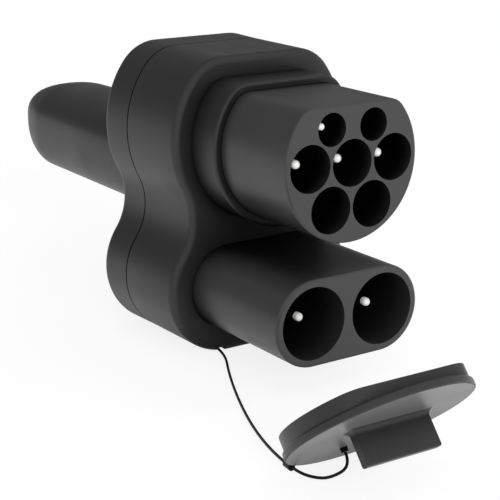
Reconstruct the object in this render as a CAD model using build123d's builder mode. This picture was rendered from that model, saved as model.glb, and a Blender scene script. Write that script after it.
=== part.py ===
"""Charging adapter: two-nose inlet in front, long grip with a plug face behind.

Millimetres. X is to the right seen from the front, Y runs to the rear and Z is up.
The origin is at the bottom centre of the adapter's box, so it stands on Z = 0.
Depths are measured from the front face of the upper nose, heights from its centre pin.
"""
import os
from math import atan2, copysign, cos, degrees, hypot, pi, radians, sin, sqrt, tan

from build123d import *

os.makedirs("parts", exist_ok=True)

# Overall
TOTAL_LENGTH = 197.0          # nose face to plug face
FACE_Y = -TOTAL_LENGTH / 2

# Body outline, two lobes joined by a waist
UPPER_R = 34.4
UPPER_RISE = 0.8
TOP_FLAT = 27.95
TOP_CORNER_R = 15.5
WAIST_R = 20.8
LOWER_R = 23.0
LOWER_HALF = 13.15
LOWER_DROP = 50.5
FOOT_TRIM = 0.3               # taken off below for a flat foot
CENTRE_HEIGHT = LOWER_DROP + LOWER_R - FOOT_TRIM
BODY_FRONT = 48.9
SEAM = 79.1
BODY_REAR = 95.2
DRAFT_GROW = 0.2
REAR_GROW = 0.6
WALL = 2.8
FRONT_WALL = 5.0
REAR_WALL = 3.0
SEAL_T = 0.6
SEAL_RECESS = 0.5
SEAL_WIDTH = 1.8
FRONT_EDGE_R = 2.4
REAR_EDGE_R = 3.0

# Upper nose, seven wells
NOSE_R = 25.45
NOSE_FLAT = 18.5
NOSE_CORNER_R = 6.5
COLLAR_GROW = 2.6
COLLAR_LENGTH = 13.9
PIN_PITCH = 16.0
WELL_R = 7.55
PILOT_WELL_R = 5.28
LOWER_WELL_DROP = 14.0
PILOT_RISE = 11.22
WELL_DEPTH = 40.0
FIT_GAP = 0.15
LIP = 3.0
LIP_T = 4.0
PLATE_T = 3.0

# Lower nose, two wells
DC_SETBACK = 0.4
DC_R = 14.45
DC_HALF = 13.6
DC_RAISE = 0.65               # the lower nose sits this much above its lobe's middle
DC_DROP = LOWER_DROP - DC_RAISE
DC_WELL_R = 12.0
DC_WELL_DEPTH = 44.0

# Pins, each with a touch-proof tip
POWER_PIN_R = 3.0
PILOT_PIN_R = 1.5
DC_PIN_R = 4.0
POWER_SHOULDER_R = 5.0
PILOT_SHOULDER_R = 3.2
DC_SHOULDER_R = 6.5
SEAT_GROW = 0.4               # the pins are thicker behind the wells' floors
TIP_R = 1.42
PILOT_TIP_R = 1.15
TIP_STEM_R = 0.8
TIP_STEM = 3.0
TIP_LENGTH = 2.5
POWER_TIP_DEPTH = 6.5
PILOT_TIP_DEPTH = 4.7
SHORT_PILOT_TIP_DEPTH = 10.5
DC_TIP_DEPTH = 7.4
PILOT_TAIL = 5.0

# Grip, a rounded bar that narrows and rounds off at the far end
GRIP_HALF = 21.64
GRIP_TAPER = 2.67
GRIP_TOP = -0.17
GRIP_TOP_FALL = 0.85
GRIP_BOTTOM = -34.5
GRIP_SPLIT = -14.35
GRIP_TOP_POWER = 2.27
GRIP_BOTTOM_POWER = 3.31
GRIP_SPAN = 119.7
ROUND_LENGTH = 17.3
ROUND_START = TOTAL_LENGTH - ROUND_LENGTH
ROUND_SPAN = 36.0
ROUND_POWER = 1.6
GRIP_WALL = 2.6
GRIP_LIP = 2.2
GRIP_LIP_T = 3.0
GRIP_GAP = 0.3

# Plug face at the far end
CARRIER_RECESS = 1.5
CARRIER_LENGTH = 14.0
SOCKET_X = 6.3
SOCKET_Z = -12.6
SOCKET_R = 3.8
SOCKET_BORE_R = 2.7
EARTH_SOCKET_Z = -21.6
EARTH_SOCKET_R = 2.8
EARTH_BORE_R = 1.7
PILOT_SOCKET_X = 7.0
PILOT_SOCKET_Z = -22.6
PILOT_SOCKET_R = 1.7
PILOT_BORE_R = 0.9
SOCKET_SETBACK = 1.0
SOCKET_DEPTH = 10.0

# Conductors
LINK_T = 2.5
LINK_FRONT = 80.0
LINK_HALF = 4.4
ROD_R = 2.2
EARTH_LINK_FRONT = 83.4
EARTH_LINK_T = 1.8
EARTH_ROD_R = 1.6
LEAD_R = 0.8

# Screws
SCREW_R = 1.5
SCREW_HEAD_R = 2.8
SCREW_HEAD_T = 2.4
POST_R = 3.2
LOW_SCREW_DROP = LOWER_DROP + 14.6
SCREW_SPOTS = [(22.3, 17.0), (-22.3, 17.0), (21.6, -LOW_SCREW_DROP), (-21.6, -LOW_SCREW_DROP)]

# Cap
CAP_FIT_GAP = 0.25
CAP_WALL = 1.2
CAP_FLANGE_R = 27.7
CAP_FLANGE_T = 2.4
CAP_SKIRT = 4.3
TAB_WIDTH = 25.1
TAB_T = 2.6
TAB_LENGTH = 10.6
TAB_OFFSET = -3.9
TAB_ROOT_R = 1.8
CAP_EDGE_R = 0.6
CAP_X = -38.35
CAP_DEPTH = -63.1
CAP_TURN = -1.1               # heading of the cap's slope on the ground
CAP_TILT = 40.3
BOSS_R = 1.1
BOSS_T = 1.4
BOSS_X = -3.5
BOSS_OFFSET = 15.5

# Tether
CORD_R = 0.45
CORD_LIE = 0.5
CHANNEL_X = -16.0
CHANNEL_WIDTH = 3.0
CHANNEL_HEIGHT = 1.5
CHANNEL_END = 62.0
ANCHOR_LENGTH = 4.0
FERRULE_R = 1.1
FERRULE_LENGTH = 3.4


def at(depth):
    """A plane across the adapter at one depth, seen from the front."""
    return Plane(origin=(0, FACE_Y + depth, CENTRE_HEIGHT), x_dir=(1, 0, 0), z_dir=(0, -1, 0))


def body_outline(grow=0.0):
    """The body's outline by tangent arcs, moved outward by grow."""
    reach = UPPER_R - TOP_CORNER_R
    corner_z = TOP_FLAT - TOP_CORNER_R
    corner_x = sqrt(reach ** 2 - (corner_z - UPPER_RISE) ** 2)
    far, near = UPPER_R + WAIST_R, LOWER_R + WAIST_R
    dx, dz = LOWER_HALF, -LOWER_DROP - UPPER_RISE
    gap = hypot(dx, dz)
    along = (far ** 2 - near ** 2 + gap ** 2) / (2 * gap)
    aside = sqrt(far ** 2 - along ** 2)
    waist_x = (dx * along - dz * aside) / gap
    waist_z = UPPER_RISE + (dz * along + dx * aside) / gap
    corner = degrees(atan2(corner_z - UPPER_RISE, corner_x))
    upper = degrees(atan2(waist_z - UPPER_RISE, waist_x))
    lower = degrees(atan2(waist_z + LOWER_DROP, waist_x - LOWER_HALF))
    with BuildLine(mode=Mode.PRIVATE) as drawn:
        CenterArc((LOWER_HALF, -LOWER_DROP), LOWER_R + grow, -90, 90 + lower)
        CenterArc((waist_x, waist_z), WAIST_R - grow, 180 + lower, upper - lower)
        CenterArc((0, UPPER_RISE), UPPER_R + grow, upper, corner - upper)
        CenterArc((corner_x, corner_z), TOP_CORNER_R + grow, corner, 90 - corner)
        Line((corner_x, TOP_FLAT + grow), (-corner_x, TOP_FLAT + grow))
        CenterArc((-corner_x, corner_z), TOP_CORNER_R + grow, 90, 90 - corner)
        CenterArc((0, UPPER_RISE), UPPER_R + grow, 180 - corner, corner - upper)
        CenterArc((-waist_x, waist_z), WAIST_R - grow, -upper, upper - lower)
        CenterArc((-LOWER_HALF, -LOWER_DROP), LOWER_R + grow, 180 - lower, 90 + lower)
        Line((-LOWER_HALF, -LOWER_DROP - LOWER_R - grow), (LOWER_HALF, -LOWER_DROP - LOWER_R - grow))
    make_face(drawn.edges())


def nose_outline(grow=0.0):
    """The upper nose's round outline with its flat top, moved outward by grow."""
    corner_z = NOSE_FLAT - NOSE_CORNER_R
    corner_x = sqrt((NOSE_R - NOSE_CORNER_R) ** 2 - corner_z ** 2)
    corner = degrees(atan2(corner_z, corner_x))
    with BuildLine(mode=Mode.PRIVATE) as drawn:
        CenterArc((0, 0), NOSE_R + grow, 180 - corner, 180 + 2 * corner)
        CenterArc((corner_x, corner_z), NOSE_CORNER_R + grow, corner, 90 - corner)
        Line((corner_x, NOSE_FLAT + grow), (-corner_x, NOSE_FLAT + grow))
        CenterArc((-corner_x, corner_z), NOSE_CORNER_R + grow, 90, 90 - corner)
    make_face(drawn.edges())


def dc_outline(grow=0.0):
    """The lower nose's outline, a slot shape, moved outward by grow."""
    with Locations((0, -DC_DROP)):
        SlotCenterToCenter(2 * DC_HALF, 2 * (DC_R + grow))


def grip_scale(depth):
    """How far the grip has closed in at one depth, from one down to the plug face."""
    part = max(0.0, (depth - ROUND_START) / ROUND_SPAN)
    return (1 - part ** ROUND_POWER) ** (1 / ROUND_POWER)


def grip_size(depth, inward=0.0):
    """Half width, height above the split and height below it at one depth."""
    run = (depth - BODY_REAR) / GRIP_SPAN
    scale = grip_scale(depth)
    half = (GRIP_HALF - GRIP_TAPER * run) * scale - inward
    above = (GRIP_TOP - GRIP_TOP_FALL * run * abs(run) - GRIP_SPLIT) * scale - inward
    below = (GRIP_SPLIT - GRIP_BOTTOM) * scale - inward
    return half, above, below


def grip_outline(depth, inward=0.0):
    """The grip's section, rounder above the split than below it."""
    half, above, below = grip_size(depth, inward)
    points = []
    for step in range(24):
        across, up = cos(pi * step / 12), sin(pi * step / 12)
        power = 2 / (GRIP_TOP_POWER if step < 12 else GRIP_BOTTOM_POWER)
        tall = above if step < 12 else below
        points.append((copysign(half * abs(across) ** power, across),
                       GRIP_SPLIT + copysign(tall * abs(up) ** power, up)))
    with BuildLine(mode=Mode.PRIVATE) as drawn:
        Spline(*points, periodic=True)
    make_face(drawn.edges())


def rod(front, rear, radius, x, z, mode=Mode.ADD):
    """A round bar along the adapter between two depths."""
    with BuildSketch(at(rear), mode=Mode.PRIVATE) as drawn:
        with Locations((x, z)):
            Circle(radius)
    extrude(drawn.sketch, amount=rear - front, mode=mode)


def face_edges(part, depth):
    """The edges that lie at one depth."""
    return part.edges().filter_by_position(Axis.Y, FACE_Y + depth - 0.01, FACE_Y + depth + 0.01)


def ground_cut():
    """Takes off what reaches below the ground, for a flat foot."""
    with BuildSketch(Plane.XY, mode=Mode.PRIVATE) as drawn:
        Rectangle(120, 3 * TOTAL_LENGTH)
    extrude(drawn.sketch, amount=-20, mode=Mode.SUBTRACT)


lip_front = BODY_FRONT + FRONT_WALL
plate_front = lip_front + LIP_T
plate_rear = plate_front + PLATE_T
rear_wall_front = BODY_REAR - REAR_WALL
dc_well_floor = DC_SETBACK + DC_WELL_DEPTH
front_seam = SEAM - SEAL_T / 2
rear_seam = SEAM + SEAL_T / 2
head_seat = BODY_REAR - SCREW_HEAD_T - 0.6

# Front housing with the stepped collar round the upper nose
with BuildPart() as front_housing:
    with BuildSketch(at(BODY_FRONT)):
        body_outline()
    with BuildSketch(at(front_seam)):
        body_outline(DRAFT_GROW)
    loft(ruled=True)
    fillet(face_edges(front_housing, BODY_FRONT), FRONT_EDGE_R)
    ground_cut()
    with BuildSketch(at(front_seam)):
        body_outline(-WALL)
    extrude(amount=front_seam - lip_front, mode=Mode.SUBTRACT)
    with BuildSketch(at(BODY_FRONT)):
        nose_outline(COLLAR_GROW)
    extrude(amount=COLLAR_LENGTH)
    fillet(face_edges(front_housing, BODY_FRONT - COLLAR_LENGTH), 1.0)
    with BuildSketch(at(lip_front)):
        nose_outline(FIT_GAP)
    extrude(amount=FRONT_WALL + COLLAR_LENGTH, mode=Mode.SUBTRACT)
    with BuildSketch(at(lip_front)):
        dc_outline(FIT_GAP)
    extrude(amount=FRONT_WALL, mode=Mode.SUBTRACT)
    for x, z in SCREW_SPOTS:
        rod(lip_front - FRONT_WALL + 0.8, lip_front, SCREW_R, x, z, Mode.SUBTRACT)
    with BuildSketch(at(CHANNEL_END)):
        with Locations((CHANNEL_X, -CENTRE_HEIGHT + CHANNEL_HEIGHT / 2)):
            Rectangle(CHANNEL_WIDTH, CHANNEL_HEIGHT)
    extrude(amount=CHANNEL_END - BODY_FRONT + 1, mode=Mode.SUBTRACT)

# Rear housing with the four clamping posts
with BuildPart() as rear_housing:
    with BuildSketch(at(rear_seam)):
        body_outline(DRAFT_GROW)
    with BuildSketch(at(BODY_REAR)):
        body_outline(REAR_GROW)
    loft(ruled=True)
    fillet(face_edges(rear_housing, BODY_REAR), REAR_EDGE_R)
    ground_cut()
    with BuildSketch(at(rear_wall_front)):
        body_outline(-WALL)
    extrude(amount=rear_wall_front - rear_seam, mode=Mode.SUBTRACT)
    with BuildSketch(at(BODY_REAR)):
        grip_outline(BODY_REAR, -GRIP_GAP)
    extrude(amount=REAR_WALL, mode=Mode.SUBTRACT)
    for x, z in SCREW_SPOTS:
        rod(plate_rear, rear_wall_front, POST_R, x, z)
        rod(plate_rear, BODY_REAR, SCREW_R + 0.2, x, z, Mode.SUBTRACT)
        rod(head_seat, BODY_REAR, SCREW_HEAD_R + 0.2, x, z, Mode.SUBTRACT)

# Seal ring in the seam, a little below the surface
with BuildPart() as housing_seal:
    with BuildSketch(at(rear_seam)):
        body_outline(DRAFT_GROW - SEAL_RECESS)
        with BuildSketch(mode=Mode.PRIVATE) as inner:
            body_outline(DRAFT_GROW - SEAL_RECESS - SEAL_WIDTH)
        add(inner.sketch, mode=Mode.SUBTRACT)
    extrude(amount=SEAL_T)
    with BuildSketch(Plane.XY.offset(SEAL_RECESS)):
        Rectangle(120, TOTAL_LENGTH)
    extrude(amount=-5, mode=Mode.SUBTRACT)

# Upper nose: one insulator with seven wells
power_spots = [(0, 0), (-PIN_PITCH, 0), (PIN_PITCH, 0)]
empty_spots = [(-PIN_PITCH / 2, -LOWER_WELL_DROP), (PIN_PITCH / 2, -LOWER_WELL_DROP)]
pilot_spots = [(-PIN_PITCH / 2, PILOT_RISE), (PIN_PITCH / 2, PILOT_RISE)]
with BuildPart() as ac_insulator:
    with BuildSketch(at(lip_front)):
        nose_outline()
    extrude(amount=lip_front)
    fillet(face_edges(ac_insulator, 0), 0.7)
    with BuildSketch(at(plate_front)):
        nose_outline(LIP)
    extrude(amount=LIP_T)
    for x, z in power_spots + empty_spots:
        rod(0, WELL_DEPTH, WELL_R, x, z, Mode.SUBTRACT)
    for x, z in pilot_spots:
        rod(0, WELL_DEPTH, PILOT_WELL_R, x, z, Mode.SUBTRACT)
        rod(WELL_DEPTH, plate_front, PILOT_PIN_R + SEAT_GROW, x, z, Mode.SUBTRACT)
        rod(lip_front, plate_front, PILOT_SHOULDER_R, x, z, Mode.SUBTRACT)
    for x, z in power_spots:
        rod(WELL_DEPTH, plate_front, POWER_PIN_R + SEAT_GROW, x, z, Mode.SUBTRACT)
        rod(lip_front, plate_front, POWER_SHOULDER_R, x, z, Mode.SUBTRACT)
    for x, z in SCREW_SPOTS[:2]:
        rod(lip_front, plate_front, SCREW_R + 0.2, x, z, Mode.SUBTRACT)

# Lower nose: one insulator with two wells
dc_spots = [(-DC_HALF, -DC_DROP), (DC_HALF, -DC_DROP)]
with BuildPart() as dc_insulator:
    with BuildSketch(at(lip_front)):
        dc_outline()
    extrude(amount=lip_front - DC_SETBACK)
    fillet(face_edges(dc_insulator, DC_SETBACK), 0.9)
    with BuildSketch(at(plate_front)):
        dc_outline(LIP)
    extrude(amount=LIP_T)
    for x, z in dc_spots:
        rod(DC_SETBACK, dc_well_floor, DC_WELL_R, x, z, Mode.SUBTRACT)
        rod(dc_well_floor, plate_front, DC_PIN_R + SEAT_GROW, x, z, Mode.SUBTRACT)
        rod(lip_front, plate_front, DC_SHOULDER_R, x, z, Mode.SUBTRACT)
    for x, z in SCREW_SPOTS[2:]:
        rod(lip_front, plate_front, SCREW_R + 0.2, x, z, Mode.SUBTRACT)

# Plates that hold the pins in from behind
with BuildPart() as ac_retainer:
    with BuildSketch(at(plate_rear)):
        nose_outline(LIP)
    extrude(amount=PLATE_T)
    for x, z in power_spots:
        rod(plate_front, plate_rear, POWER_PIN_R + SEAT_GROW, x, z, Mode.SUBTRACT)
    for x, z in pilot_spots:
        rod(plate_front, plate_rear, PILOT_PIN_R + SEAT_GROW, x, z, Mode.SUBTRACT)
    for x, z in SCREW_SPOTS[:2]:
        rod(plate_front, plate_rear, SCREW_R + 0.2, x, z, Mode.SUBTRACT)

with BuildPart() as dc_retainer:
    with BuildSketch(at(plate_rear)):
        dc_outline(LIP)
    extrude(amount=PLATE_T)
    for x, z in dc_spots:
        rod(plate_front, plate_rear, DC_PIN_R + SEAT_GROW, x, z, Mode.SUBTRACT)
    for x, z in SCREW_SPOTS[2:]:
        rod(plate_front, plate_rear, SCREW_R + 0.2, x, z, Mode.SUBTRACT)


def pin(spot, radius, shoulder_r, floor, tip_depth, tip_r, tail_end):
    """A turned pin: nose with a socket for the tip, seat, shoulder and tail."""
    x, z = spot
    front = tip_depth + TIP_LENGTH
    with BuildPart() as made:
        rod(front, tail_end, radius, x, z)
        nose = radius - tip_r
        chamfer(face_edges(made, front), length=min(2.2, 1.5 * nose), length2=nose - 0.02)
        rod(floor, plate_rear, radius + SEAT_GROW, x, z)
        rod(lip_front, plate_front, shoulder_r, x, z)
        rod(front, front + TIP_STEM, TIP_STEM_R, x, z, Mode.SUBTRACT)
    return made


def tip(spot, tip_depth, tip_r):
    """A round-nosed plastic tip with its stem, added to the part being built."""
    x, z = spot
    base = tip_depth + TIP_LENGTH
    with BuildSketch(Plane(origin=(x, FACE_Y + base, CENTRE_HEIGHT + z), x_dir=(1, 0, 0),
                           z_dir=(0, 0, 1)), mode=Mode.PRIVATE) as drawn:
        with BuildLine():
            Line((0, TIP_STEM), (TIP_STEM_R, TIP_STEM))
            Line((TIP_STEM_R, TIP_STEM), (TIP_STEM_R, 0))
            Line((TIP_STEM_R, 0), (tip_r, 0))
            Line((tip_r, 0), (tip_r, tip_r - TIP_LENGTH))
            CenterArc((0, tip_r - TIP_LENGTH), tip_r, 0, -90)
            Line((0, -TIP_LENGTH), (0, TIP_STEM))
        make_face()
    revolve(drawn.sketch, axis=Axis((x, FACE_Y, CENTRE_HEIGHT + z), (0, 1, 0)))


link_rear = LINK_FRONT + LINK_T
earth_rear = EARTH_LINK_FRONT + EARTH_LINK_T
earth_pin = pin(power_spots[0], POWER_PIN_R, POWER_SHOULDER_R, WELL_DEPTH, POWER_TIP_DEPTH,
                TIP_R, earth_rear)
left_power_pin = pin(power_spots[1], POWER_PIN_R, POWER_SHOULDER_R, WELL_DEPTH,
                     POWER_TIP_DEPTH, TIP_R, link_rear)
right_power_pin = pin(power_spots[2], POWER_PIN_R, POWER_SHOULDER_R, WELL_DEPTH,
                      POWER_TIP_DEPTH, TIP_R, link_rear)
pilot_tail = plate_rear + PILOT_TAIL
long_pilot_pin = pin(pilot_spots[0], PILOT_PIN_R, PILOT_SHOULDER_R, WELL_DEPTH,
                     PILOT_TIP_DEPTH, PILOT_TIP_R, pilot_tail)
short_pilot_pin = pin(pilot_spots[1], PILOT_PIN_R, PILOT_SHOULDER_R, WELL_DEPTH,
                      SHORT_PILOT_TIP_DEPTH, PILOT_TIP_R, pilot_tail)
left_dc_pin = pin(dc_spots[0], DC_PIN_R, DC_SHOULDER_R, dc_well_floor, DC_TIP_DEPTH, TIP_R,
                  link_rear)
right_dc_pin = pin(dc_spots[1], DC_PIN_R, DC_SHOULDER_R, dc_well_floor, DC_TIP_DEPTH, TIP_R,
                   link_rear)

with BuildPart() as power_pin_tips:
    for spot in power_spots:
        tip(spot, POWER_TIP_DEPTH, TIP_R)

with BuildPart() as pilot_pin_tips:
    tip(pilot_spots[0], PILOT_TIP_DEPTH, PILOT_TIP_R)
    tip(pilot_spots[1], SHORT_PILOT_TIP_DEPTH, PILOT_TIP_R)

with BuildPart() as dc_pin_tips:
    for spot in dc_spots:
        tip(spot, DC_TIP_DEPTH, TIP_R)

# Grip, two shells that meet along the side
lip_start = rear_wall_front - GRIP_LIP_T
round_step = (TOTAL_LENGTH - ROUND_START) / 8
round_depths = [ROUND_START + round_step * step for step in range(10)]


def grip_shell(side):
    """One half of the grip with its lip behind the rear wall."""
    with BuildPart() as made:
        for depth in [lip_start] + round_depths[:-1]:
            with BuildSketch(at(depth)):
                grip_outline(depth)
        loft(ruled=True)
        with BuildSketch(at(rear_wall_front)):
            grip_outline(rear_wall_front, -GRIP_LIP)
        extrude(amount=GRIP_LIP_T)
        for depth in [lip_start] + round_depths:
            with BuildSketch(at(depth)):
                grip_outline(depth, GRIP_WALL)
        loft(ruled=True, mode=Mode.SUBTRACT)
        split(bisect_by=Plane.XY.offset(CENTRE_HEIGHT + GRIP_SPLIT), keep=side)
    return made


upper_grip_shell = grip_shell(Keep.TOP)
lower_grip_shell = grip_shell(Keep.BOTTOM)

# Contact carrier that closes the far end, with its sockets
carrier_rear = TOTAL_LENGTH - CARRIER_RECESS
carrier_front = carrier_rear - CARRIER_LENGTH
socket_rear = carrier_rear - SOCKET_SETBACK
socket_spots = [(-SOCKET_X, SOCKET_Z), (SOCKET_X, SOCKET_Z)]
pilot_socket_spots = [(-PILOT_SOCKET_X, PILOT_SOCKET_Z), (PILOT_SOCKET_X, PILOT_SOCKET_Z)]
with BuildPart() as contact_carrier:
    for depth in round_depths:
        with BuildSketch(at(depth)):
            grip_outline(depth, GRIP_WALL + 0.03)
    loft(ruled=True)
    with BuildSketch(at(carrier_rear)):
        Rectangle(90, 90)
    extrude(amount=carrier_rear - carrier_front, mode=Mode.INTERSECT)
    for x, z in socket_spots:
        rod(carrier_front, carrier_rear, SOCKET_R, x, z, Mode.SUBTRACT)
    rod(carrier_front, carrier_rear, EARTH_SOCKET_R, 0, EARTH_SOCKET_Z, Mode.SUBTRACT)
    for x, z in pilot_socket_spots:
        rod(carrier_front, carrier_rear, PILOT_SOCKET_R, x, z, Mode.SUBTRACT)


def socket(spot, outer, bore, length):
    """A turned socket, open at the far end and solid behind."""
    x, z = spot
    with BuildPart() as made:
        rod(socket_rear - length, socket_rear, outer, x, z)
        rod(socket_rear - SOCKET_DEPTH, socket_rear, bore, x, z, Mode.SUBTRACT)
    return made


left_power_socket = socket(socket_spots[0], SOCKET_R, SOCKET_BORE_R, CARRIER_LENGTH + 3)
right_power_socket = socket(socket_spots[1], SOCKET_R, SOCKET_BORE_R, CARRIER_LENGTH + 3)
earth_socket = socket((0, EARTH_SOCKET_Z), EARTH_SOCKET_R, EARTH_BORE_R, CARRIER_LENGTH + 3)
left_pilot_socket = socket(pilot_socket_spots[0], PILOT_SOCKET_R, PILOT_BORE_R,
                           CARRIER_LENGTH + 3)
right_pilot_socket = socket(pilot_socket_spots[1], PILOT_SOCKET_R, PILOT_BORE_R,
                            CARRIER_LENGTH + 3)
socket_tail = socket_rear - CARRIER_LENGTH - 3


def bar_between(start, end, half):
    """A flat bar with round ends from one centre to another, in the sketch being drawn."""
    dx, dz = end[0] - start[0], end[1] - start[1]
    with Locations(Location(((start[0] + end[0]) / 2, (start[1] + end[1]) / 2, 0),
                            (0, 0, degrees(atan2(dz, dx))))):
        SlotCenterToCenter(hypot(dx, dz), 2 * half)


def power_link(side):
    """Joins one direct-current pin, one power pin and one socket."""
    turn = (side * SOCKET_X, SOCKET_Z)
    with BuildPart() as made:
        with BuildSketch(at(link_rear)):
            bar_between((side * DC_HALF, -DC_DROP), turn, LINK_HALF + 1)
            bar_between(turn, (side * PIN_PITCH, 0), LINK_HALF)
        extrude(amount=LINK_T)
        rod(LINK_FRONT, link_rear, DC_PIN_R, side * DC_HALF, -DC_DROP, Mode.SUBTRACT)
        rod(LINK_FRONT, link_rear, POWER_PIN_R, side * PIN_PITCH, 0, Mode.SUBTRACT)
        rod(link_rear, socket_tail, ROD_R, *turn)
    return made


left_power_link = power_link(-1)
right_power_link = power_link(1)

with BuildPart() as earth_link:
    with BuildSketch(at(earth_rear)):
        bar_between((0, 0), (0, EARTH_SOCKET_Z), EARTH_ROD_R + 2.2)
    extrude(amount=EARTH_LINK_T)
    rod(EARTH_LINK_FRONT, earth_rear, POWER_PIN_R, 0, 0, Mode.SUBTRACT)
    rod(earth_rear, socket_tail, EARTH_ROD_R, 0, EARTH_SOCKET_Z)


def pilot_lead(side):
    """A signal wire from a pilot pin to its socket."""
    x, z = side * PIN_PITCH / 2, PILOT_RISE
    out = side * 12.4
    turn = link_rear + 1.5
    route = [(x, pilot_tail, z), (x, turn, z), (out, turn, PILOT_SOCKET_Z - 1.4),
             (out, turn + 44.0, PILOT_SOCKET_Z - 0.6), (side * 10.4, turn + 72.0, PILOT_SOCKET_Z - 0.3),
             (side * PILOT_SOCKET_X, socket_tail - 4, PILOT_SOCKET_Z),
             (side * PILOT_SOCKET_X, socket_tail, PILOT_SOCKET_Z)]
    spots = [Vector(px, FACE_Y + py, CENTRE_HEIGHT + pz) for px, py, pz in route]
    radii = bend_radii(spots, 0.45)
    with BuildPart() as made:
        with BuildLine() as path:
            FilletPolyline(*spots, radius=radii)
        with BuildSketch(Plane(origin=spots[0], z_dir=spots[1] - spots[0])):
            Circle(LEAD_R)
        sweep(path=path.wires()[0])
    return made


def bend_radii(spots, share):
    """One radius for each corner, as large as its two runs allow."""
    radii = []
    for before, here, after in zip(spots, spots[1:], spots[2:]):
        turn = radians((here - before).get_angle(after - here))
        run = min((here - before).length, (after - here).length)
        radii.append(share * run / tan(turn / 2))
    return radii


left_pilot_lead = pilot_lead(-1)
right_pilot_lead = pilot_lead(1)

# Screws that clamp the rear housing, plates and insulators to the front housing
with BuildPart() as housing_screws:
    for x, z in SCREW_SPOTS:
        rod(lip_front - FRONT_WALL + 1.2, head_seat, SCREW_R, x, z)
        rod(head_seat, head_seat + SCREW_HEAD_T, SCREW_HEAD_R, x, z)
        with BuildSketch(at(head_seat + SCREW_HEAD_T)):
            with Locations((x, z)):
                RegularPolygon(1.45, 6)
        extrude(amount=1.4, mode=Mode.SUBTRACT)

# Cap, one moulding: flange, skirt that fits over the upper nose, pull tab and tether boss.
# It stands on the flange's rim, and the springy tether holds it at its slant.
cap_turn, cap_tilt = radians(CAP_TURN), radians(CAP_TILT)
edge_loss = CAP_EDGE_R * (sin(cap_tilt) + cos(cap_tilt) - 1)
cap_normal = Vector(-sin(cap_turn) * sin(cap_tilt), cos(cap_turn) * sin(cap_tilt), cos(cap_tilt))
cap_plane = Plane(origin=(CAP_X, FACE_Y + CAP_DEPTH, CAP_FLANGE_R * sin(cap_tilt) - edge_loss),
                  x_dir=(cos(cap_turn), sin(cap_turn), 0), z_dir=cap_normal)


def skirt_outline(grow):
    """The nose outline turned so that its flat faces away from the ground."""
    with BuildSketch(mode=Mode.PRIVATE) as drawn:
        nose_outline(grow)
    add(mirror(drawn.sketch, about=Plane.XZ, mode=Mode.PRIVATE))


with BuildPart() as protective_cap:
    with BuildSketch(cap_plane):
        Circle(CAP_FLANGE_R)
    extrude(amount=CAP_FLANGE_T)
    rim = protective_cap.edges().filter_by(GeomType.CIRCLE)
    fillet(rim, CAP_EDGE_R)
    with BuildSketch(cap_plane.offset(CAP_FLANGE_T)):
        skirt_outline(CAP_FIT_GAP + CAP_WALL)
    extrude(amount=CAP_SKIRT)
    with BuildSketch(cap_plane.offset(CAP_FLANGE_T)):
        skirt_outline(CAP_FIT_GAP)
    extrude(amount=CAP_SKIRT, mode=Mode.SUBTRACT)
    with BuildSketch(cap_plane):
        with Locations((0, TAB_OFFSET)):
            Rectangle(TAB_WIDTH, TAB_T)
    extrude(amount=-TAB_LENGTH)
    straight = protective_cap.edges().filter_by(GeomType.LINE)
    fillet([edge for edge in straight
            if abs(cap_plane.to_local_coords(edge.center()).Z + TAB_LENGTH) < 0.01], CAP_EDGE_R)
    fillet([edge for edge in straight
            if abs(cap_plane.to_local_coords(edge.center()).Z) < 0.01], TAB_ROOT_R)
    with BuildSketch(cap_plane):
        with Locations((BOSS_X, BOSS_OFFSET)):
            Circle(BOSS_R)
    extrude(amount=-BOSS_T)

# Tether: a thin cord from the underside to the cap's boss
boss_tip = cap_plane.from_local_coords(Vector(BOSS_X, BOSS_OFFSET, -BOSS_T))
cap_out = -cap_normal
channel_top = CHANNEL_HEIGHT
anchor_front = CHANNEL_END - ANCHOR_LENGTH
cord_route = [
    Vector(CHANNEL_X, FACE_Y + anchor_front, CORD_LIE),
    Vector(CHANNEL_X - 0.5, FACE_Y + BODY_FRONT - 1.8, CORD_LIE),
    Vector(-27.6, FACE_Y + 27.5, CORD_LIE),
    Vector(-38.3, FACE_Y + 5.0, CORD_LIE),
    Vector(-46.6, FACE_Y - 15.5, 0.8),
    Vector(-51.6, FACE_Y - 32.6, FERRULE_R + 0.05),
    Vector(-53.1, FACE_Y - 45.1, FERRULE_R + 0.05),
    Vector(-51.2, FACE_Y - 49.7, 0.6),
    Vector(-47.6, FACE_Y - 53.0, 0.6),
    boss_tip + cap_out * 4.2,
    boss_tip,
]
cord_radii = bend_radii(cord_route, 0.45)
print("cord radii", [round(value, 2) for value in cord_radii])
print("cord runs", [round((b - a).length, 1) for a, b in zip(cord_route, cord_route[1:])])
with BuildPart() as tether:
    with BuildLine() as cord_path:
        FilletPolyline(*cord_route, radius=cord_radii)
    with BuildSketch(Plane(origin=cord_route[0], z_dir=cord_route[1] - cord_route[0])):
        Circle(CORD_R)
    sweep(path=cord_path.wires()[0])
cord_length = cord_path.wires()[0].length
print("cord length", round(cord_length, 1), "volume", round(tether.part.volume, 2),
      "section by length", round(pi * CORD_R ** 2 * cord_length, 2))

# Anchor plug in the channel and the crimped ferrule on the cord
with BuildPart() as tether_anchor:
    with BuildSketch(at(CHANNEL_END)):
        with Locations((CHANNEL_X, -CENTRE_HEIGHT + CHANNEL_HEIGHT / 2 + 0.05)):
            Rectangle(CHANNEL_WIDTH, CHANNEL_HEIGHT - 0.1)
    extrude(amount=ANCHOR_LENGTH)

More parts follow.
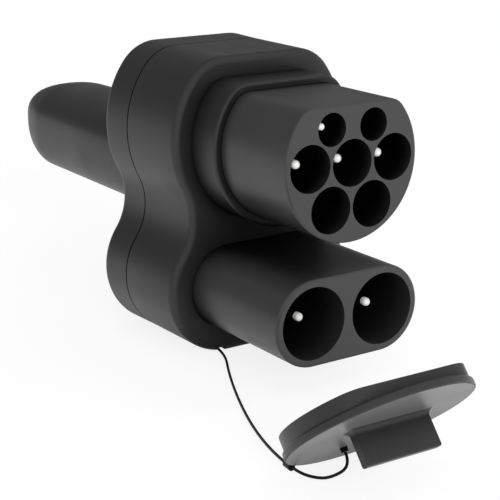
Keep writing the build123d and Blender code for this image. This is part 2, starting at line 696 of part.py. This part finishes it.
ferrule_from, ferrule_to = cord_route[5], cord_route[6]
ferrule_way = (ferrule_to - ferrule_from).normalized()
ferrule_start = ferrule_from + ferrule_way * 6.4
with BuildPart() as cord_ferrule:
    with BuildSketch(Plane(origin=ferrule_start, z_dir=ferrule_way)):
        Circle(FERRULE_R)
        Circle(CORD_R, mode=Mode.SUBTRACT)
    extrude(amount=FERRULE_LENGTH)

front_housing.part.label = "front_housing"
export_step(front_housing.part, "parts/front_housing.step")
rear_housing.part.label = "rear_housing"
export_step(rear_housing.part, "parts/rear_housing.step")
housing_seal.part.label = "housing_seal"
export_step(housing_seal.part, "parts/housing_seal.step")
ac_insulator.part.label = "ac_insulator"
export_step(ac_insulator.part, "parts/ac_insulator.step")
dc_insulator.part.label = "dc_insulator"
export_step(dc_insulator.part, "parts/dc_insulator.step")
ac_retainer.part.label = "ac_retainer"
export_step(ac_retainer.part, "parts/ac_retainer.step")
dc_retainer.part.label = "dc_retainer"
export_step(dc_retainer.part, "parts/dc_retainer.step")
earth_pin.part.label = "earth_pin"
export_step(earth_pin.part, "parts/earth_pin.step")
left_power_pin.part.label = "left_power_pin"
export_step(left_power_pin.part, "parts/left_power_pin.step")
right_power_pin.part.label = "right_power_pin"
export_step(right_power_pin.part, "parts/right_power_pin.step")
long_pilot_pin.part.label = "long_pilot_pin"
export_step(long_pilot_pin.part, "parts/long_pilot_pin.step")
short_pilot_pin.part.label = "short_pilot_pin"
export_step(short_pilot_pin.part, "parts/short_pilot_pin.step")
left_dc_pin.part.label = "left_dc_pin"
export_step(left_dc_pin.part, "parts/left_dc_pin.step")
right_dc_pin.part.label = "right_dc_pin"
export_step(right_dc_pin.part, "parts/right_dc_pin.step")
power_pin_tips.part.label = "power_pin_tips"
export_step(power_pin_tips.part, "parts/power_pin_tips.step")
pilot_pin_tips.part.label = "pilot_pin_tips"
export_step(pilot_pin_tips.part, "parts/pilot_pin_tips.step")
dc_pin_tips.part.label = "dc_pin_tips"
export_step(dc_pin_tips.part, "parts/dc_pin_tips.step")
upper_grip_shell.part.label = "upper_grip_shell"
export_step(upper_grip_shell.part, "parts/upper_grip_shell.step")
lower_grip_shell.part.label = "lower_grip_shell"
export_step(lower_grip_shell.part, "parts/lower_grip_shell.step")
contact_carrier.part.label = "contact_carrier"
export_step(contact_carrier.part, "parts/contact_carrier.step")
left_power_socket.part.label = "left_power_socket"
export_step(left_power_socket.part, "parts/left_power_socket.step")
right_power_socket.part.label = "right_power_socket"
export_step(right_power_socket.part, "parts/right_power_socket.step")
earth_socket.part.label = "earth_socket"
export_step(earth_socket.part, "parts/earth_socket.step")
left_pilot_socket.part.label = "left_pilot_socket"
export_step(left_pilot_socket.part, "parts/left_pilot_socket.step")
right_pilot_socket.part.label = "right_pilot_socket"
export_step(right_pilot_socket.part, "parts/right_pilot_socket.step")
left_power_link.part.label = "left_power_link"
export_step(left_power_link.part, "parts/left_power_link.step")
right_power_link.part.label = "right_power_link"
export_step(right_power_link.part, "parts/right_power_link.step")
earth_link.part.label = "earth_link"
export_step(earth_link.part, "parts/earth_link.step")
left_pilot_lead.part.label = "left_pilot_lead"
export_step(left_pilot_lead.part, "parts/left_pilot_lead.step")
right_pilot_lead.part.label = "right_pilot_lead"
export_step(right_pilot_lead.part, "parts/right_pilot_lead.step")
housing_screws.part.label = "housing_screws"
export_step(housing_screws.part, "parts/housing_screws.step")
protective_cap.part.label = "protective_cap"
export_step(protective_cap.part, "parts/protective_cap.step")
tether.part.label = "tether"
export_step(tether.part, "parts/tether.step")
tether_anchor.part.label = "tether_anchor"
export_step(tether_anchor.part, "parts/tether_anchor.step")
cord_ferrule.part.label = "cord_ferrule"
export_step(cord_ferrule.part, "parts/cord_ferrule.step")
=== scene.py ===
# %% [markdown]
# # Dressing a charging adapter
#
# The adapter comes in as finished solids, already at their real size. This file gives each of
# them the surface that the real one has, lays its thin tether on the ground, and lights it the
# way a small product is lit for a catalogue. Nothing here moves or reshapes a solid.

# %% Load the solids
from math import radians

import bpy
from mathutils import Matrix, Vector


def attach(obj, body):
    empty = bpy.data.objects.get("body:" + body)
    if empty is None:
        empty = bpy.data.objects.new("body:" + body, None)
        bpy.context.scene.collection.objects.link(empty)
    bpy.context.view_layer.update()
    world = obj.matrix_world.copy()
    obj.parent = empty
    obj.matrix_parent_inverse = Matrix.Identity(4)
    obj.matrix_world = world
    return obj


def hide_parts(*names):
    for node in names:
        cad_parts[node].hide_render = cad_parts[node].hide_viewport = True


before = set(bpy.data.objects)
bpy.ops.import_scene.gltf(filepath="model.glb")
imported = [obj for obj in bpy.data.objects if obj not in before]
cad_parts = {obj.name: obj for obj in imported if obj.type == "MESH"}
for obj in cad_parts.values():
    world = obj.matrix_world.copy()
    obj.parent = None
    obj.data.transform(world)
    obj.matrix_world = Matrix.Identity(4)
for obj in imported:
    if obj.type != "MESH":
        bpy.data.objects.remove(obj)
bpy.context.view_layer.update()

# %% [markdown]
# ## Camera
#
# The eye stands in front of the adapter, to its left and a little above it, half a metre away.
# A long lens keeps the two noses from ballooning. The camera could aim at an empty, but two
# angles say the same thing with less in the scene: how far it turns and how far it looks down.

# %% Camera
EYE = (-0.26824, -0.43751, 0.17138)
TURN_RIGHT = 34.173
LOOK_DOWN = 16.301
LENS_MM = 103.358

camera_data = bpy.data.cameras.new("catalogue_camera")
camera_data.lens = LENS_MM
camera_data.sensor_width = 36.0
camera_data.clip_start = 0.02
camera = bpy.data.objects.new("catalogue_camera", camera_data)
camera.location = EYE
camera.rotation_euler = (radians(90 - LOOK_DOWN), 0, radians(-TURN_RIGHT))
bpy.context.scene.collection.objects.link(camera)
bpy.context.scene.camera = camera
print("camera", LENS_MM, "mm lens")

# %% [markdown]
# ## Tether
#
# The tether is taken as a thin coated spring wire. It leaves the underside of the housing, runs
# along the ground and comes up under the cap, where it ends in a small boss and holds the cap at
# its slant. Such a wire never has a corner, so it is one smooth curve: the points only pull at it.

# %% Tether
CORD_RADIUS = 0.00045
CORD_ROUTE = [
    (-0.01600, -0.04050, 0.00050), (-0.01650, -0.05140, 0.00050), (-0.02760, -0.07100, 0.00050),
    (-0.03830, -0.09350, 0.00050), (-0.04660, -0.11400, 0.00080), (-0.05160, -0.13110, 0.00115),
    (-0.05310, -0.14360, 0.00115), (-0.05120, -0.14820, 0.00060), (-0.04760, -0.15150, 0.00060),
    (-0.04169, -0.15333, 0.00337), (-0.04164, -0.15062, 0.00658),
]

cord_curve = bpy.data.curves.new("tether_cord", "CURVE")
cord_curve.dimensions = "3D"
cord_curve.bevel_depth = 1.0        # times each point's radius, which also sets the curve's box
cord_curve.bevel_resolution = 3
cord_curve.resolution_u = 12
cord_curve.use_fill_caps = True
line = cord_curve.splines.new("NURBS")
line.points.add(len(CORD_ROUTE) - 1)
for point, place in zip(line.points, CORD_ROUTE):
    point.co = (*place, 1.0)
    point.radius = CORD_RADIUS
line.order_u = 3
line.use_endpoint_u = True
cord = bpy.data.objects.new("tether_cord", cord_curve)
bpy.context.scene.collection.objects.link(cord)
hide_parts("tether")
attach(cord, "root")

# %% [markdown]
# ## Colours and shader nodes
#
# Paint charts give colours as sRGB hex. Blender's shaders want linear light, so one function
# converts them. A second one adds a shader node, sets it and wires it, because writing three
# lines for every node would bury what the material is.

# %% Two helpers
MM = 0.001


def hex_colour(code):
    """A six-digit sRGB colour as linear red, green, blue and alpha."""
    parts = [int(code[i:i + 2], 16) / 255 for i in (1, 3, 5)]
    return (*[p / 12.92 if p <= 0.04045 else ((p + 0.055) / 1.055) ** 2.4 for p in parts], 1.0)


def add_node(tree, kind, settings=None, links=None):
    """Adds one shader node. settings holds properties and socket values, links holds sockets."""
    node = tree.nodes.new(kind)
    for name, value in (settings or {}).items():
        if isinstance(name, int) or name in node.inputs:
            node.inputs[name].default_value = value
        else:
            setattr(node, name, value)
    for name, source in (links or {}).items():
        tree.links.new(source, node.inputs[name])
    return node


def new_material(name):
    """An empty material, its node tree and its output node."""
    material = bpy.data.materials.new(name)
    material.use_nodes = True
    material.node_tree.nodes.clear()
    return material, material.node_tree, add_node(material.node_tree, "ShaderNodeOutputMaterial")


# %% [markdown]
# ## Housing plastic
#
# The housing and grip are moulded in black glass-filled nylon. The steel mould is spark-eroded,
# which leaves a grain of about 0.3 mm that breaks up reflections, and hands polish it unevenly.
# So the grain goes into the bump, and a broad, faint cloud goes into the roughness.
#
# Each corner and well is painted darker than the light alone makes it, as painted shade: one node
# asks how open a spot is to its surroundings, and where it is closed in, colour and gloss are
# painted down to black.

# %% Glass-filled nylon
NYLON_BLACK = "#1a1a1b"
NYLON_WORN = "#202021"
GRAIN_MM = 0.45          # the real grain is 0.3 mm, coarser here so that it shows at all
HANDLING_MM = 28.0
# Painted shade: these numbers set where colour and gloss are painted darker in closed-in spots and
# wells.
SHADE_MM = 22.0          # how far away a neighbouring wall still takes light from a corner
CLOSED_IN = 0.36         # share of open surroundings at which a spot is black
WIDE_OPEN = 0.78         # and at which it has its full colour
PAINTED_SHADE_BLACK = (0.001, 0.001, 0.001, 1)


def moulded_plastic(name, colour, worn, roughness, grain_mm, bump, painted_shade_amount=1.0):
    """Moulded plastic: grain in the bump, handling in roughness and colour.

    painted_shade_amount says how far colour and gloss are painted darker as painted shade where the
    surface is closed in, 0 for not at all.
    """
    material, tree, output = new_material(name)
    place = add_node(tree, "ShaderNodeTexCoord").outputs["Object"]
    grain = add_node(tree, "ShaderNodeTexNoise",
                     {"Scale": 1 / (grain_mm * MM), "Detail": 2.0, "Roughness": 0.6},
                     {"Vector": place})
    cloud = add_node(tree, "ShaderNodeTexNoise",
                     {"Scale": 1 / (HANDLING_MM * MM), "Detail": 3.0, "Roughness": 0.55},
                     {"Vector": place})
    tint = add_node(tree, "ShaderNodeMix",
                    {"data_type": "RGBA", 6: hex_colour(colour), 7: hex_colour(worn)},
                    {0: cloud.outputs[0]})
    sheen = add_node(tree, "ShaderNodeMapRange",
                     {1: 0.3, 2: 0.7, 3: roughness - 0.05, 4: roughness + 0.05},
                     {0: cloud.outputs[0]})
    relief = add_node(tree, "ShaderNodeBump", {"Strength": bump, "Distance": 0.05 * MM},
                      {"Height": grain.outputs[0]})
    # Painted shade: where the surface is closed in, the colour is mixed towards black and the
    # specular level drops.
    open_sky = add_node(tree, "ShaderNodeAmbientOcclusion",
                        {"samples": 4, "Distance": SHADE_MM * MM})
    shade = add_node(tree, "ShaderNodeMapRange",
                     {1: CLOSED_IN, 2: WIDE_OPEN, 3: 1.0 - painted_shade_amount, 4: 1.0},
                     {0: open_sky.outputs["AO"]})
    deep = add_node(tree, "ShaderNodeMix", {"data_type": "RGBA", 6: PAINTED_SHADE_BLACK},
                    {0: shade.outputs[0], 7: tint.outputs[2]})
    gloss = add_node(tree, "ShaderNodeMapRange", {3: 0.05, 4: 0.5}, {0: shade.outputs[0]})
    surface = add_node(tree, "ShaderNodeBsdfPrincipled", {"IOR": 1.5},
                       {"Base Color": deep.outputs[2], "Roughness": sheen.outputs[0],
                        "Specular IOR Level": gloss.outputs[0], "Normal": relief.outputs[0]})
    tree.links.new(surface.outputs[0], output.inputs["Surface"])
    return material


nylon = moulded_plastic("glass_filled_nylon_black", NYLON_BLACK, NYLON_WORN, 0.42, GRAIN_MM, 0.25)
print("housing plastic", nylon.name)

# %% [markdown]
# ## Insulator plastic
#
# The two noses are moulded in a denser plastic, PBT, in a polished mould. It has next to no
# grain, so its face reads as one even dark grey. The wells hide their walls, because deep down
# they are closed in on every side and so are painted black with painted shade.

# %% PBT
PBT_BLACK = "#303031"
PBT_WORN = "#353536"
pbt = moulded_plastic("moulded_pbt_black", PBT_BLACK, PBT_WORN, 0.40, 0.3, 0.10)

# %% [markdown]
# ## Cap, seal and cord
#
# The cap is soft: a thermoplastic rubber. Its outer face is painted paler than the skirt and the
# tab, a painted reflection of the bright ground below it. A mask finds that face by the direction
# that it faces, which is the cap's outward axis as it stands here.
# The seal in the seam is nitrile rubber, nearly black. The tether's coat is polyurethane.

# %% Rubbers
RUBBER_GREY = "#202021"
RUBBER_WORN = "#262627"
PAINTED_REFLECTION_GREY = "#626263"
CAP_OUTWARD = (-0.0124, -0.6467, -0.7627)

rubber = moulded_plastic("thermoplastic_rubber_grey", RUBBER_GREY, RUBBER_WORN, 0.40, 0.35, 0.15)
tree = rubber.node_tree
facing = add_node(tree, "ShaderNodeVectorMath", {"operation": "DOT_PRODUCT", 1: CAP_OUTWARD},
                  {0: add_node(tree, "ShaderNodeNewGeometry").outputs["Normal"]})
# Painted reflection: the face turned to the ground is painted a paler grey.
painted_reflection_mask = add_node(tree, "ShaderNodeMapRange", {1: 0.90, 2: 0.99}, {0: facing.outputs["Value"]})
skin = next(node for node in tree.nodes if node.type == "BSDF_PRINCIPLED")
painted_reflection_colour = add_node(tree, "ShaderNodeMix", {"data_type": "RGBA", 7: hex_colour(PAINTED_REFLECTION_GREY)},
                {0: painted_reflection_mask.outputs[0], 6: skin.inputs["Base Color"].links[0].from_socket})
tree.links.new(painted_reflection_colour.outputs[2], skin.inputs["Base Color"])

nitrile = moulded_plastic("nitrile_rubber_black", "#0c0c0c", "#101010", 0.75, 0.4, 0.2)
urethane = moulded_plastic("polyurethane_cord_black", "#1c1c1c", "#222222", 0.38, 0.5, 0.1)

# %% [markdown]
# ## Pins and tips
#
# The pins are turned copper alloy, and each carries a white plastic tip so that a finger can't
# touch live metal. Pins and sockets sit deep in the wells, so their metal is painted near black
# as painted shade. Turning leaves fine rings round a pin.

# %% Pin metal, painted near black as painted shade
TURNING_MM = 0.12


def turned_metal(name, colour, roughness):
    """Turned and plated metal: rings along the pin, in the bump and the roughness."""
    material, tree, output = new_material(name)
    place = add_node(tree, "ShaderNodeTexCoord").outputs["Object"]
    rings = add_node(tree, "ShaderNodeTexWave",
                     {"wave_type": "BANDS", "bands_direction": "Y",
                      "Scale": 1 / (20 * TURNING_MM * MM), "Distortion": 0.6, "Detail": 1.0},
                     {"Vector": place})
    plating = add_node(tree, "ShaderNodeMapRange", {3: roughness - 0.04, 4: roughness + 0.06},
                       {0: rings.outputs[1]})
    relief = add_node(tree, "ShaderNodeBump", {"Strength": 0.08, "Distance": 0.01 * MM},
                      {"Height": rings.outputs[1]})
    surface = add_node(tree, "ShaderNodeBsdfPrincipled",
                       {"Base Color": hex_colour(colour), "Metallic": 1.0},
                       {"Roughness": plating.outputs[0], "Normal": relief.outputs[0]})
    tree.links.new(surface.outputs[0], output.inputs["Surface"])
    return material


# Painted shade: the pin and socket metal is painted near black because it sits deep in the wells.
pin_metal_painted_shade = turned_metal("pin_plating_painted_shade", "#0c0c0c", 0.32)
copper = turned_metal("bare_copper_bar", "#b87352", 0.30)
zinc = turned_metal("zinc_plated_steel", "#8f9296", 0.35)

# %% White tips
# The white tips get no painted shade.
tip_white = moulded_plastic("moulded_pbt_white", "#f4f4f2", "#ececea", 0.35, 0.3, 0.05, painted_shade_amount=0.0)
wire_sheath = moulded_plastic("pvc_wire_sheath", "#23242a", "#292a30", 0.45, 0.4, 0.1)

# %% [markdown]
# ## Dress the solids
#
# Each solid gets its material by name. Flat faces stay flat and round faces turn smooth: an
# edge counts as sharp when its two faces meet at more than 25 degrees.

# %% Assign
FINISH = {
    nylon: ["front_housing", "rear_housing", "upper_grip_shell", "lower_grip_shell",
            "tether_anchor"],
    pbt: ["ac_insulator", "dc_insulator", "ac_retainer", "dc_retainer", "contact_carrier"],
    rubber: ["protective_cap"],
    nitrile: ["housing_seal"],
    urethane: ["tether", "cord_ferrule"],
    pin_metal_painted_shade: ["earth_pin", "left_power_pin", "right_power_pin", "long_pilot_pin",
                   "short_pilot_pin", "left_dc_pin", "right_dc_pin", "left_power_socket",
                   "right_power_socket", "earth_socket", "left_pilot_socket",
                   "right_pilot_socket"],
    copper: ["left_power_link", "right_power_link", "earth_link"],
    zinc: ["housing_screws"],
    tip_white: ["power_pin_tips", "pilot_pin_tips", "dc_pin_tips"],
    wire_sheath: ["left_pilot_lead", "right_pilot_lead"],
}
for material, names in FINISH.items():
    for name in names:
        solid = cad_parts[name]
        solid.data.materials.clear()
        solid.data.materials.append(material)
        solid.data.shade_smooth()
        solid.data.set_sharp_from_angle(angle=radians(25))
cord_curve.materials.append(urethane)
print("dressed", sum(len(names) for names in FINISH.values()), "solids")

# %% [markdown]
# ## Floor
#
# A catalogue picture stands on white paper. Paper that is lit to pure white would need so much
# light that the black plastic turns grey, so the paper gives part of its white by itself to the
# camera and to reflections, and the rest comes from the lamps and so keeps the soft shadow.

# %% Paper floor
paper, tree, output = new_material("white_paper")
rays = add_node(tree, "ShaderNodeLightPath")
seen = add_node(tree, "ShaderNodeMath", {"operation": "MAXIMUM"},
                {0: rays.outputs["Is Camera Ray"], 1: rays.outputs["Is Glossy Ray"]})
seen = add_node(tree, "ShaderNodeMath", {"operation": "MAXIMUM"},
                {0: seen.outputs[0], 1: rays.outputs["Is Transmission Ray"]})
plain = add_node(tree, "ShaderNodeBsdfDiffuse", {"Color": hex_colour("#e6e6e6")})
faint = add_node(tree, "ShaderNodeBsdfDiffuse", {"Color": (0.22, 0.22, 0.22, 1)})
glow = add_node(tree, "ShaderNodeEmission", {"Color": (1, 1, 1, 1), "Strength": 0.84})
lit = add_node(tree, "ShaderNodeAddShader", None, {0: faint.outputs[0], 1: glow.outputs[0]})
sheet = add_node(tree, "ShaderNodeMixShader", None,
                 {0: seen.outputs[0], 1: plain.outputs[0], 2: lit.outputs[0]})
tree.links.new(sheet.outputs[0], output.inputs["Surface"])

FLOOR_HALF = 0.45
CORNERS = ((-1, -1), (1, -1), (1, 1), (-1, 1))
floor_mesh = bpy.data.meshes.new("paper_floor")
floor_mesh.from_pydata([(x * FLOOR_HALF, y * FLOOR_HALF, 0) for x, y in CORNERS], [], [(0, 1, 2, 3)])
floor_mesh.materials.append(paper)
floor = bpy.data.objects.new("paper_floor", floor_mesh)
bpy.context.scene.collection.objects.link(floor)

# %% [markdown]
# ## Light
#
# One large softbox stands in front and to the left, so the two nose faces come out lighter than
# the tops. A weaker one on the right keeps the far side from going black. The world gives the
# rest: white to the camera and to clear pieces, and in reflections a room that is bright in
# front and on the ground and falls off to the rear, as if a grey flag stood there.

# %% World and lamps
ROOM = 0.55              # the even light that the room throws on everything
FRONT, REAR = 0.8, 0.28  # what a reflection finds in front, and behind where the flag stands

world = bpy.data.worlds.new("white_studio")
bpy.context.scene.world = world
world.use_nodes = True
tree = world.node_tree
tree.nodes.clear()
rays = add_node(tree, "ShaderNodeLightPath")
direct = add_node(tree, "ShaderNodeMath", {"operation": "MAXIMUM"},
                  {0: rays.outputs["Is Camera Ray"], 1: rays.outputs["Is Transmission Ray"]})
seen = add_node(tree, "ShaderNodeMath", {"operation": "MAXIMUM"},
                {0: direct.outputs[0], 1: rays.outputs["Is Glossy Ray"]})
way = add_node(tree, "ShaderNodeSeparateXYZ", None,
               {0: add_node(tree, "ShaderNodeTexCoord").outputs["Generated"]})
flag = add_node(tree, "ShaderNodeMapRange", {1: -0.3, 2: 0.6, 3: FRONT, 4: REAR},
                {0: way.outputs[1]})
below = add_node(tree, "ShaderNodeMapRange", {1: 0.02, 2: -0.05}, {0: way.outputs[2]})
mirrored = add_node(tree, "ShaderNodeMath", {"operation": "MAXIMUM"},
                    {0: flag.outputs[0], 1: below.outputs[0]})
strength = add_node(tree, "ShaderNodeMath", {"operation": "MAXIMUM"},
                    {0: mirrored.outputs[0], 1: direct.outputs[0]})
room = add_node(tree, "ShaderNodeBackground", {"Color": (1, 1, 1, 1), "Strength": ROOM})
white = add_node(tree, "ShaderNodeBackground", {"Color": (1, 1, 1, 1)},
                 {"Strength": strength.outputs[0]})
both = add_node(tree, "ShaderNodeMixShader", None,
                {0: seen.outputs[0], 1: room.outputs[0], 2: white.outputs[0]})
add_node(tree, "ShaderNodeOutputWorld", None, {"Surface": both.outputs[0]})


def softbox(name, place, aim, width, watts):
    """A square area lamp that faces one point. It gives light, but isn't mirrored in the edges."""
    lamp_data = bpy.data.lights.new(name, "AREA")
    lamp_data.shape = "SQUARE"
    lamp_data.size = width
    lamp_data.energy = watts
    lamp = bpy.data.objects.new(name, lamp_data)
    lamp.location = place
    lamp.visible_glossy = False
    way = Vector(aim) - Vector(place)
    lamp.rotation_euler = way.to_track_quat("-Z", "Y").to_euler()
    bpy.context.scene.collection.objects.link(lamp)


softbox("front_softbox", (-0.3, -1.1, 0.3), (0, -0.05, 0.05), 0.7, 11.0)
softbox("right_softbox", (0.9, -0.2, 0.5), (0, -0.05, 0.05), 0.6, 2.0)
bpy.context.scene.view_settings.view_transform = "Standard"
